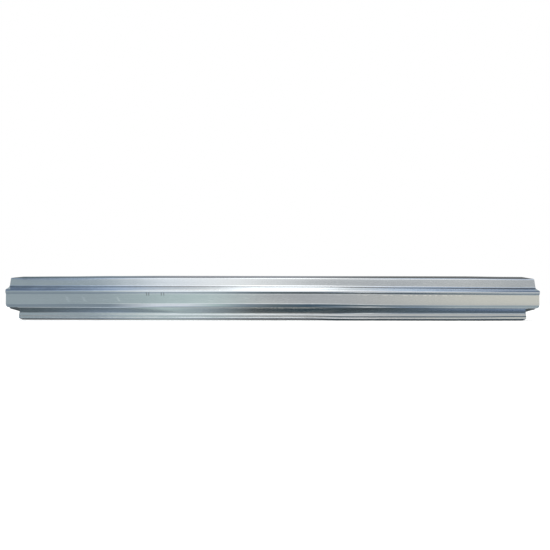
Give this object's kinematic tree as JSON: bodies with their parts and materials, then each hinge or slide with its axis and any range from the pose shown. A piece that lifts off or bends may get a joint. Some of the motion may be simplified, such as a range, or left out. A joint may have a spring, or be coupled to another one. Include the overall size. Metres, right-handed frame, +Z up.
{
  "type": "rocker panel",
  "caption": "Outer vehicle rocker panel: a long folded steel channel with a stepped nose, a rolled top lip, a joggled lower flange and notched ends.",
  "frame": {"origin": "mid-length, on the underside of the lower return lip, midway across that lip's flat", "axes": "+X along the sill, -Y outboard (the face that is seen), +Z up as fitted to the vehicle"},
  "size_m": [1.78, 0.0714, 0.1512],
  "materials": {
    "galvanised_steel": "bare galvanised sheet steel, rolled grain along its length, semi-bright, with light handling scuffs"
  },
  "bodies": {
    "root": {"rocker_panel": "galvanised_steel"}
  },
  "joints": []
}
